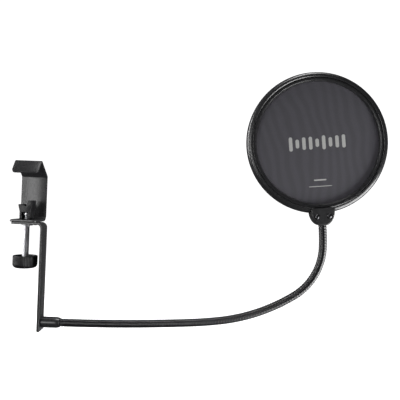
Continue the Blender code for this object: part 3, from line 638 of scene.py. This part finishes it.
def knob():
    """The cup-shaped knob with fine flutes that fade out towards its lower edge."""
    base = KNOB_TOP_Z - KNOB_HEIGHT
    cup_floor = KNOB_TOP_Z - KNOB_CUP_DEPTH
    boss_top = KNOB_TOP_Z - KNOB_BOSS_DROP
    foot = KNOB_TOP_Z - SPINDLE_FOOT_DROP
    bore = SPINDLE_R + GAP
    outline = [(KNOB_R, base), (KNOB_R, KNOB_TOP_Z), (KNOB_CUP_R, KNOB_TOP_Z), (KNOB_CUP_R - GAP, cup_floor),
               (KNOB_BOSS_R + KNOB_CUP_DRAFT, cup_floor), (KNOB_BOSS_R, boss_top), (bore, boss_top),
               (bore, foot - GAP), (0.4 * MM, foot - GAP)]
    radii = (0.6 * MM, 0.5 * MM, 0.6 * MM, 0.6 * MM, 0.4 * MM, 0.3 * MM, 0.2 * MM)
    profile = [Vector((0.4 * MM, base)), Vector((KNOB_R - KNOB_CORNER - 2 * MM, base))]
    profile += [Vector(p) for p in arc((KNOB_R - KNOB_CORNER, base + KNOB_CORNER), KNOB_CORNER, -90, 0, 12)]
    side_rows = 10
    top_start = KNOB_TOP_Z - 0.8 * MM
    bottom = base + KNOB_CORNER
    levels = [bottom + (top_start - bottom) * i / side_rows for i in range(1, side_rows + 1)]
    profile += [Vector((KNOB_R, z)) for z in levels]
    profile += rounded(outline, radii, 5)[1:]
    steps = KNOB_FLUTES * 10
    turns = np.arange(steps) * (math.tau / steps)
    radius, height = np.array([tuple(p) for p in profile]).T
    depth = FLUTE_DEPTH * np.clip((height - base - 0.8 * MM) / (2.6 * MM), 0, 1)
    depth *= np.clip((radius - (KNOB_R - 2.2 * MM)) / (1.2 * MM), 0, 1)
    wave = np.abs(np.sin(turns * KNOB_FLUTES / 2)) ** 0.8 - 1
    radius = radius[:, None] + depth[:, None] * wave
    rings = np.stack([radius * np.cos(turns), radius * np.sin(turns),
                      np.repeat(height[:, None], steps, 1)], axis=-1)
    made = skin("fluted_knob", rings, KNOB_PLASTIC)
    made.data.transform(SCREW_PLACE)
    fit(made, "screw", "knob_plastic", "thumb_knob")


def button():
    """The headed button on the spindle's tip."""
    low, high = BUTTON_HEAD_Z
    bore = SPINDLE_TIP_R + GAP
    centre = 0.2 * MM
    corners = [(centre, high), (BUTTON_R - BUTTON_CHAMFER, high), (BUTTON_R, high - BUTTON_CHAMFER),
               (BUTTON_R, low), (BUTTON_NECK_R, low), (BUTTON_NECK_R, BUTTON_FOOT_Z), (bore, BUTTON_FOOT_Z),
               (bore, BUTTON_BORE_Z), (centre, BUTTON_BORE_Z)]
    made = turned("pad_button", rounded(corners, 0.3 * MM, 4), CHROME, SCREW_PLACE, 64)
    fit(made, "screw_carrier", "chrome", "swivel_button")


def pad():
    """The plastic V block with its T slot and soft edges."""
    foot = FLOOR_Z + GAP
    top = foot + PAD_HEIGHT
    waist = foot + PAD_WAIST
    left_top = top - PAD_LEFT_DROP
    left_face, right_face = PAD_HORN_FACES
    left_x, bottom_x, right_x = PAD_GROOVE_X
    outline = [(PAD_BODY_HALF, foot), (PAD_BODY_HALF, waist), (PAD_HORN_HALF, top - right_face),
               (PAD_HORN_HALF, top), (right_x, top), (bottom_x, top - PAD_GROOVE_DEPTH), (left_x, left_top),
               (-PAD_HORN_HALF, left_top), (-PAD_HORN_HALF, left_top - left_face), (-PAD_BODY_HALF, waist),
               (-PAD_BODY_HALF, foot)]
    radii = [r * MM for r in (0.4, 1.2, 0.8, 0.7, 0.5, 0.4, 0.5, 0.5, 0.5, 1.2, 0.4)]
    outline = rounded(outline, radii, 4, loop=True)
    made = prism("v_pad", outline, -PAD_DEPTH / 2, PAD_DEPTH / 2, PAD_PLASTIC, SCREW_PLACE)
    bevel(made, PAD_EDGE, 3, 60)
    for name, half, low, high in (
        ("neck_slot", BUTTON_NECK_R + GAP, foot - STRIP, BUTTON_HEAD_Z[0]),
        ("head_slot", BUTTON_R + GAP, BUTTON_HEAD_Z[0] - GAP, BUTTON_HEAD_Z[1] + GAP),
    ):
        side = arc((0, 0), half, 180, 0, 24)
        slot = [(half, -PAD_DEPTH)] + [(x, y) for x, y in reversed(side)] + [(-half, -PAD_DEPTH)]
        rings = np.array([[(x, y, z) for x, y in slot] for z in (low, high)])
        tool = cutter(skin(name, rings, None))
        tool.data.transform(SCREW_PLACE)
        cut(made, tool)
    fit(made, "pad", "pad_plastic", "pressure_pad")


# ---------------------------------------------------------------- neck

def neck_point(station):
    """Position in the XZ plane and heading, at a length along the neck from the ferrule's mouth."""
    x = FERRULE_X + FERRULE_LENGTH
    z = NECK_ROOT_Z
    heading = 0.0
    left = station
    if station < 0:
        return x + station, z, heading
    for length, turn in NECK_BENDS:
        run = min(left, length)
        curve = math.radians(turn) / length
        bend = heading + curve * run
        x += (math.sin(bend) - math.sin(heading)) / curve
        z += (math.cos(heading) - math.cos(bend)) / curve
        heading = bend
        left -= run
        if left <= 0:
            return x, z, heading
    return x + left * math.cos(heading), z + left * math.sin(heading), heading


def on_neck(station):
    x, z = neck_point(station)[:2]
    return (x, AXIS_Y, z)


def winding(phase):
    """How far the surface lies under the crests: a broad, flattened wire and a narrow one between."""
    share = phase % 1.0
    wide = np.clip(np.abs(share - WIND_BROAD / 2) / (WIND_BROAD / 2), 0, 1)
    slim = np.clip(np.abs(share - (1 + WIND_BROAD) / 2) / ((1 - WIND_BROAD) / 2), 0, 1)
    broad_drop = 0.45 * MM * wide ** 4
    slim_drop = 0.25 * MM + 0.2 * MM * slim ** 2
    return np.where(share < WIND_BROAD, broad_drop, slim_drop)


def neck():
    """The wound gooseneck in lengths that meet between the hinges, one length around each hinge."""
    cuts = [-NECK_BELOW]
    cuts += [(a + b) / 2 for a, b in zip(NECK_HINGES, NECK_HINGES[1:])]
    cuts += [NECK_LENGTH + NECK_ABOVE]
    around = 40
    rows_per_pitch = 14
    turns = np.arange(around) * (math.tau / around)
    for i, hinge in enumerate(NECK_HINGES):
        count = round((cuts[i + 1] - cuts[i]) / WIND_PITCH * rows_per_pitch)
        stations = np.linspace(cuts[i], cuts[i + 1], count)
        spots = np.array([neck_point(s) for s in stations])
        radius = CREST_R - winding(stations[:, None] / WIND_PITCH - turns / math.tau)
        out = radius * np.cos(turns)
        rings = np.stack([
            spots[:, 0:1] - np.sin(spots[:, 2:3]) * out,
            AXIS_Y + radius * np.sin(turns),
            spots[:, 1:2] + np.cos(spots[:, 2:3]) * out,
        ], axis=-1)
        made = skin(f"neck_winding_{i + 1}", rings, WIRE)
        smooth(made.data, 75)
        start, end = on_neck(hinge - NECK_BEND_REACH), on_neck(hinge + NECK_BEND_REACH)
        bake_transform(made)
        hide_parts(f"gooseneck_{i + 1}")
        if i == len(NECK_HINGES) - 1:
            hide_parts(f"gooseneck_{i + 2}")


def ferrule():
    """The sleeve on the leg, crimped near its mouth."""
    shank = NECK_SCREW_R + GAP
    length = FERRULE_LENGTH
    socket = length - FERRULE_SOCKET
    corners = [(FERRULE_MOUTH_R, length), (FERRULE_R, length - FERRULE_TAPER), (FERRULE_R, 0), (shank, 0),
               (shank, socket), (NECK_R + GAP, socket), (NECK_R + GAP, length)]
    radii = [r * MM for r in (0.25, 1.4, 0.4, 0.2, 0.2, 0.2, 0.15)]
    profile = rounded(corners, radii, 5, loop=True)
    place = Matrix.Translation((FERRULE_X, AXIS_Y, NECK_ROOT_Z)) @ Matrix.Rotation(math.pi / 2, 4, 'Y')
    made = turned("neck_ferrule", profile, STEEL, place, 96, loop=True)
    fit(made, "clamp", "black_steel", "lower_ferrule")


# ---------------------------------------------------------------- filter head

NECK_END = neck_point(NECK_LENGTH)
LEAN = NECK_END[2] - math.pi / 2
HEAD = Matrix.Translation((NECK_END[0], AXIS_Y, NECK_END[1])) @ Matrix.Rotation(-LEAN, 4, 'Y')
FACE = HEAD @ Matrix.Translation((0, 0, FILTER_RISE))
FRONT = FACE @ Matrix.Rotation(math.pi / 2, 4, 'X')
REAR = FACE @ Matrix.Rotation(-math.pi / 2, 4, 'X')


def hub_outline(inset, reach):
    """The hub's outline seen from the front, shrunk by an inset, up to a radius from the filter's centre."""
    half = HUB_HALF_WIDTH - inset
    across, along = (axis - inset for axis in HUB_CORNER)
    lower = arc((half - across, inset + along), (across, along), 0, -90, 20)
    wide, tall = (axis - inset for axis in HUB_SHOULDER)
    sweep = math.asin((half - wide) / reach)
    rise = FILTER_RISE - reach * math.cos(sweep)
    upper = arc((half - wide, rise - tall), (wide, tall), 90, 0, 14)
    start = math.degrees(sweep) - 90
    top = arc((0, FILTER_RISE), reach, -180 - start, start, 12)
    mirrored = [(-x, z) for x, z in reversed(upper + lower)]
    return upper + lower + mirrored + top[1:-1]


def rim():
    """The rim with its round outer edge, its inner rib and the seats that the hub's plates lie in."""
    top = RIM_HALF_DEPTH
    across = RIM_R - RIM_BORE_R - RIM_CHAMFER
    half = arc((RIM_R - across, top - RIM_ROUND), (across, RIM_ROUND), 90, 0, 16)
    inner = [(RIM_BORE_R, top - RIM_CHAMFER)]
    lower = [(r, -a) for r, a in reversed(inner + half)]
    rib = [(RIM_BORE_R, -RIB_HALF), (RIB_R, -RIB_HALF), (RIB_R, RIB_HALF), (RIM_BORE_R, RIB_HALF)]
    made = turned("filter_rim", half + lower + rib + inner, RIM_PLASTIC, FRONT, RING_STEPS, loop=True)
    lap = hub_outline(-GAP, HUB_REACH_R - 2 * GAP)
    for side in (-1, 1):
        levels = sorted((side * SEAT_HALF, side * 2 * RIM_HALF_DEPTH))
        cut(made, cutter(prism(f"seat_{side}", lap, *levels, None, HEAD)))
    fit(made, "filter", "rim_plastic", "outer_rim")


def hoops():
    """The two rings that press the meshes on the rib."""
    outer = MESH_R
    low = RIB_HALF + 2 * GAP + MESH_THICKNESS
    across, down = HOOP_SLOPE
    shoulder_x, shoulder_z = HOOP_SHOULDER
    corners = [(outer, low), (HOOP_BORE_R, low), (HOOP_BORE_R, HOOP_TOP - down),
               (HOOP_BORE_R + shoulder_x, HOOP_TOP - shoulder_z), (HOOP_BORE_R + across, HOOP_TOP),
               (outer, HOOP_TOP)]
    profile = rounded(corners, 0.5 * MM, 4, loop=True)
    rings = (("mesh_ring_front", "front_hoop", FRONT), ("mesh_ring_rear", "rear_hoop", REAR))
    for name, node, place in rings:
        made = turned(name, profile, RIM_PLASTIC, place, RING_STEPS, loop=True)
        fit(made, "filter", "rim_plastic", node)


def meshes():
    """The two stretched cloths."""
    level = RIB_HALF + GAP + MESH_THICKNESS / 2
    shade = (0.084, 0.081, 0.095)
    for name, node, place, turn in (("cloth_front", "front_mesh", FRONT, 0.03),
                                    ("cloth_rear", "rear_mesh", REAR, -0.05)):
        mesh = bpy.data.meshes.new(name)
        form = bmesh.new()
        bmesh.ops.create_circle(form, cap_ends=True, radius=MESH_R, segments=RING_STEPS)
        form.to_mesh(mesh)
        form.free()
        mesh.transform(place @ Matrix.Translation((0, 0, level)))
        made = link(name, mesh, mesh_cloth(name + "_weave", turn + LEAN, shade))
        fit(made, "filter", "mesh_cloth", node)


def print_marks():
    """A generic mark printed on the front cloth: a row of round-ended level bars, and two thin lines."""
    level = RIB_HALF + GAP + MESH_THICKNESS / 2 + PRINT_LIFT
    bars, width, step, height = PRINT_BARS
    mesh = bpy.data.meshes.new("print_marks")
    form = bmesh.new()
    shapes = []
    for i in range(bars):
        share = 0.45 + 0.55 * abs(math.cos(1.9 * i))
        shapes.append(((i - (bars - 1) / 2) * step, 0.0, width, height * share))
    shapes += [(aside, -drop, wide, tall) for wide, tall, drop, aside in PRINT_LINES]
    for x, z, wide, tall in shapes:
        r = min(wide, tall) / 2
        points = []
        for k, (sx, sz) in enumerate(((1, 1), (-1, 1), (-1, -1), (1, -1))):
            points += arc((x + sx * (wide / 2 - r), z + sz * (tall / 2 - r)), r, 90 * k, 90 * k + 90, 8)
        corners = [form.verts.new((px, pz, level)) for px, pz in points]
        form.faces.new(corners)
    bmesh.ops.remove_doubles(form, verts=form.verts, dist=1e-6)
    form.to_mesh(mesh)
    form.free()
    mesh.transform(FRONT)
    fit(link("print_marks", mesh, INK), "filter", None)


def hub_shell(name, node, side):
    """One half of the hub, with rounded edges, hollow inside; side is -1 for the front half."""
    deep = HUB_HALF_DEPTH
    inside = deep - HUB_WALL
    wide, tall = HUB_EDGE
    levels = [(0.0, side * GAP / 2), (0.0, side * (deep - tall))]
    for t in np.radians(np.arange(10, 91, 10)):
        levels.append((wide * (1 - math.cos(t)), side * (deep - tall * (1 - math.sin(t)))))
    rings = [[(x, y, z) for x, z in hub_outline(inset, HUB_REACH_R)] for inset, y in levels]
    made = skin(name, np.array(rings), HUB_PLASTIC)
    made.data.transform(HEAD)
    inner = hub_outline(HUB_WALL, HUB_REACH_R - HUB_WALL)
    hollow = prism(name + "_hollow", inner, -inside, inside, None, HEAD)
    ring = [(RIM_R + GAP, inside), (RIM_R + GAP, -inside), (RIB_R, -inside), (RIB_R, inside)]
    seat = turned(name + "_seat", ring, None, FRONT, RING_STEPS, loop=True)
    bore = rod(name + "_bore", NECK_R + GAP, -HUB_BORE_HALF, HUB_BORE_HALF, HEAD)
    cut(made, cutter(hollow))
    cut(made, cutter(seat))
    cut(made, bore)
    if side < 0:
        for x in (-HUB_SCREW_X, HUB_SCREW_X):
            place = HEAD @ Matrix.Translation((x, 0, HUB_SCREW_Z)) @ Matrix.Rotation(math.pi / 2, 4, 'X')
            cut(made, rod(name + "_sink", HUB_SINK_R, deep - HUB_SINK_DEPTH, 2 * deep, place),
                rod(name + "_hole", HUB_SCREW_R + GAP, 0, 1.5 * deep, place))
    fit(made, "filter", "hub_plastic", node)


def hub_screws():
    """Domed cross-head screws."""
    under = HUB_HALF_DEPTH - HUB_SINK_DEPTH + HUB_SCREW_SEAT
    crown = under + HUB_SCREW_CROWN
    rim_level = under + HUB_SCREW_RIM
    shank_end, tip = HUB_SCREW_END
    long, short, depth = HUB_RECESS
    dome = arc((0, rim_level), (HUB_SCREW_HEAD_R, crown - rim_level), 88, 0, 10)
    profile = dome + [(HUB_SCREW_HEAD_R, under), (HUB_SCREW_R, under), (HUB_SCREW_R, -shank_end),
                      (HUB_SCREW_R / 2, -tip)]
    cross = []
    for turn in range(4):
        spin = Matrix.Rotation(turn * math.pi / 2 + HUB_RECESS_TURN, 2)
        cross += [tuple(spin @ Vector(c)) for c in ((short, short), (short, long), (-short, long))]
    for tag, x in (("left", -HUB_SCREW_X), ("right", HUB_SCREW_X)):
        spot = HEAD @ Matrix.Translation((x, 0, HUB_SCREW_Z))
        place = spot @ Matrix.Rotation(math.pi / 2, 4, 'X')
        made = turned(f"hub_screw_{tag}_dome", profile, BLACK_OXIDE, place, 48)
        cut(made, cutter(prism("recess", cross, -crown - MM, -under - depth, None, spot)))
        fit(made, "filter", "black_screw", f"hub_screw_{tag}")


# ---------------------------------------------------------------- studio

def studio():
    """Camera, plain pale floor and soft lights."""
    scene = bpy.context.scene
    camera = bpy.data.objects.new("camera", bpy.data.cameras.new("camera"))
    camera.data.lens = CAMERA_LENS
    camera.data.clip_start = 0.01
    turn = Matrix.Rotation(math.radians(-CAMERA_ROLL), 4, 'Y') @ Matrix.Rotation(math.pi / 2, 4, 'X')
    camera.matrix_world = Matrix.Translation(CAMERA_PLACE) @ turn
    scene.collection.objects.link(camera)
    scene.camera = camera
    scene.view_settings.view_transform = 'Standard'
    world = bpy.data.worlds.new("studio")
    scene.world = world
    world.use_nodes = True
    world.node_tree.nodes["Background"].inputs["Color"].default_value = (1, 1, 1, 1)
    world.node_tree.nodes["Background"].inputs["Strength"].default_value = WORLD_LIGHT
    pale = Material("pale_floor", 0.9, specular=0.0)
    pale.colour(pale.blend(pale.noise(0.4), (0.9, 0.9, 0.9), (0.94, 0.94, 0.94)))
    pale.shader.inputs["Emission Color"].default_value = (1, 1, 1, 1)
    pale.shader.inputs["Emission Strength"].default_value = 1.0
    low = CAD_BOX[0].z - FLOOR_DROP
    profile = [(0.01, low), (COVE_REACH - COVE_BEND, low)]
    profile += arc((COVE_REACH - COVE_BEND, low + COVE_BEND), COVE_BEND, -90, 0, 24)
    profile += [(COVE_REACH, low + COVE_HEIGHT)]
    floor = turned("floor", profile, pale.made)
    floor.visible_glossy = False
    floor.visible_diffuse = False
    floor.visible_shadow = False
    middle = Vector((0.16, AXIS_Y, 0.0))
    for name, place, size, power in SOFTBOXES:
        light = bpy.data.lights.new(name, 'AREA')
        light.shape = 'RECTANGLE'
        light.size, light.size_y = size
        light.energy = power
        lamp = bpy.data.objects.new(name, light)
        lamp.location = place
        lamp.rotation_euler = (middle - Vector(place)).to_track_quat('-Z', 'Y').to_euler()
        lamp.visible_camera = False
        scene.collection.objects.link(lamp)


# ---------------------------------------------------------------- assembly

studio()
clamp_and_bracket()
spindle()
knob()
button()
pad()
neck()
ferrule()
rim()
hoops()
meshes()
print_marks()
hub_shell("hub_shell_front", "hub_front", -1)
hub_shell("hub_shell_rear", "hub_rear", 1)
hub_screws()

for node, mat, slot in (("thread_bush", ZINC, "zinc_steel"), ("bracket_rivet", ZINC, "zinc_steel"),
                        ("upper_collar", ZINC, "zinc_steel"), ("neck_screw", BLACK_OXIDE, "black_screw")):
    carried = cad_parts[node]
    carried.data.materials.clear()
    carried.data.materials.append(mat)
    smooth(carried.data, 25)
